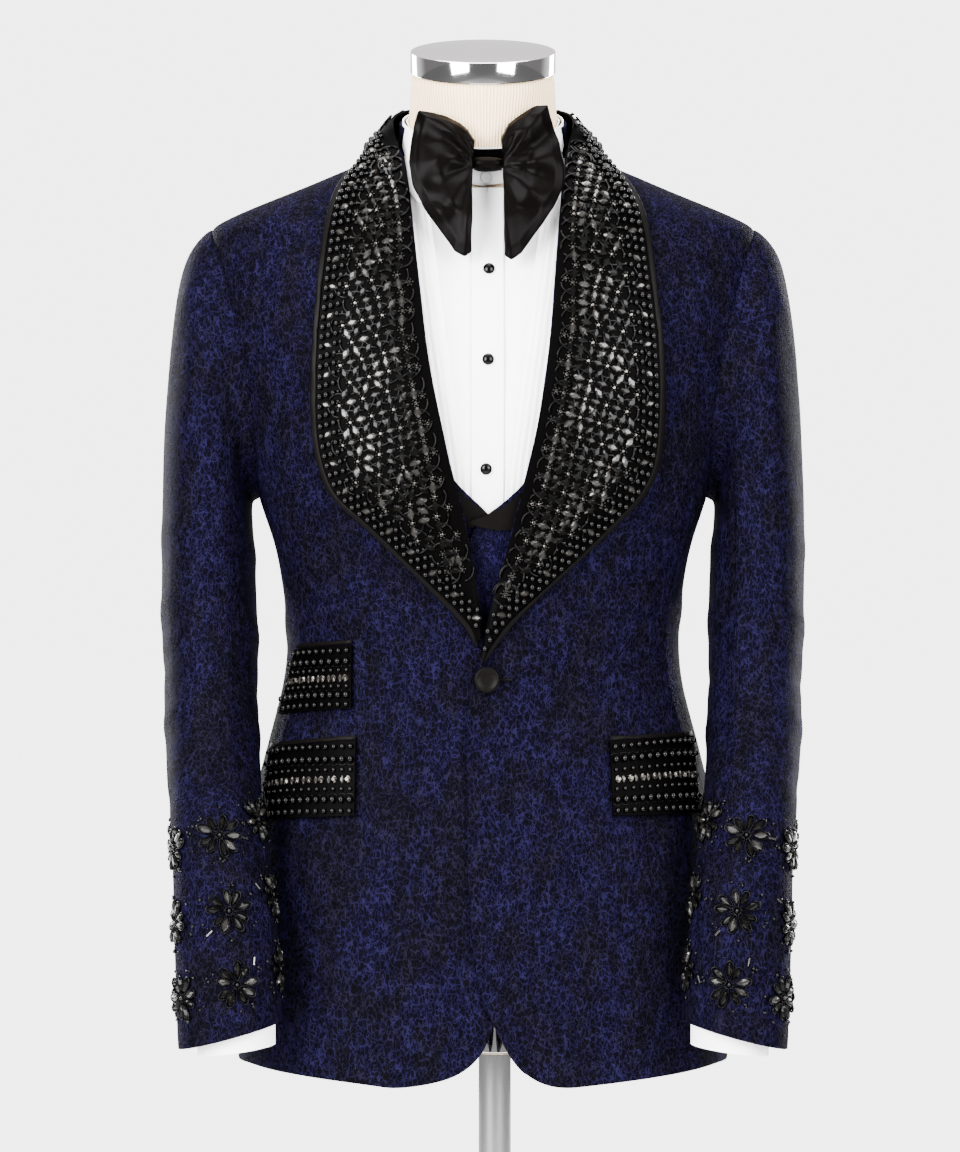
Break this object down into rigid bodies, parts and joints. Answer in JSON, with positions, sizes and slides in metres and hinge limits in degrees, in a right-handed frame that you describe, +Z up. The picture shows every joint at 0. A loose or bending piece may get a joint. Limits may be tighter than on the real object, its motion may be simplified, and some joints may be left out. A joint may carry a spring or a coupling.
{
  "type": "tuxedo on a dress form",
  "caption": "Evening jacket with wide beaded shawl lapels over a brocade waistcoat, pleated dress shirt and large satin bow tie, worn by a limbless dress form on a chrome stand.",
  "frame": {"origin": "on the underside of the stand's base, on the jacket's plane of symmetry", "axes": "+X to the wearer's left, -Y out of the front of the jacket, +Z up"},
  "size_m": [0.5216, 0.3206, 1.1539],
  "materials": {
    "jacquard": "woven jacquard with a dull sheen",
    "beaded_satin": "black satin closely covered in beads and crystals",
    "satin": "black satin",
    "brocade": "blue brocade",
    "shirting": "white cotton",
    "stud_black": "polished black",
    "button_white": "polished white",
    "jersey": "ivory ribbed jersey",
    "chrome": "polished",
    "steel": "brushed"
  },
  "bodies": {
    "root": {"jacket_right_front": "jacquard", "jacket_right_side": "jacquard", "jacket_right_back": "jacquard", "jacket_left_front": "jacquard", "jacket_left_side": "jacquard", "jacket_left_back": "jacquard", "right_top_sleeve": "jacquard", "right_under_sleeve": "jacquard", "left_top_sleeve": "jacquard", "left_under_sleeve": "jacquard", "jacket_collar_stand": "jacquard", "right_shawl_collar": "beaded_satin", "left_shawl_collar": "beaded_satin", "ticket_flap": "beaded_satin", "right_hip_flap": "beaded_satin", "left_hip_flap": "beaded_satin", "right_collar_piping": "satin", "left_collar_piping": "satin", "ticket_flap_jet": "satin", "right_hip_flap_jet": "satin", "left_hip_flap_jet": "satin", "front_button": "satin", "waistcoat_right_lapel": "satin", "waistcoat_left_lapel": "satin", "waistcoat_back": "satin", "bow_right_wing": "satin", "bow_left_wing": "satin", "bow_knot": "satin", "bow_strap": "satin", "waistcoat_right_front": "brocade", "waistcoat_left_front": "brocade", "shirt_right_front": "shirting", "shirt_left_front": "shirting", "shirt_back": "shirting", "shirt_right_sleeve": "shirting", "shirt_left_sleeve": "shirting", "shirt_right_cuff": "shirting", "shirt_left_cuff": "shirting", "shirt_placket": "shirting", "shirt_collar_stand": "shirting", "shirt_collar_leaf": "shirting", "stud_1": "stud_black", "stud_2": "stud_black", "stud_3": "stud_black", "collar_button": "button_white", "form_torso": "jersey", "neck_cap": "chrome", "stand_base": "chrome", "pole_lower": "chrome", "pole_upper": "chrome", "form_flange": "steel"}
  },
  "joints": []
}
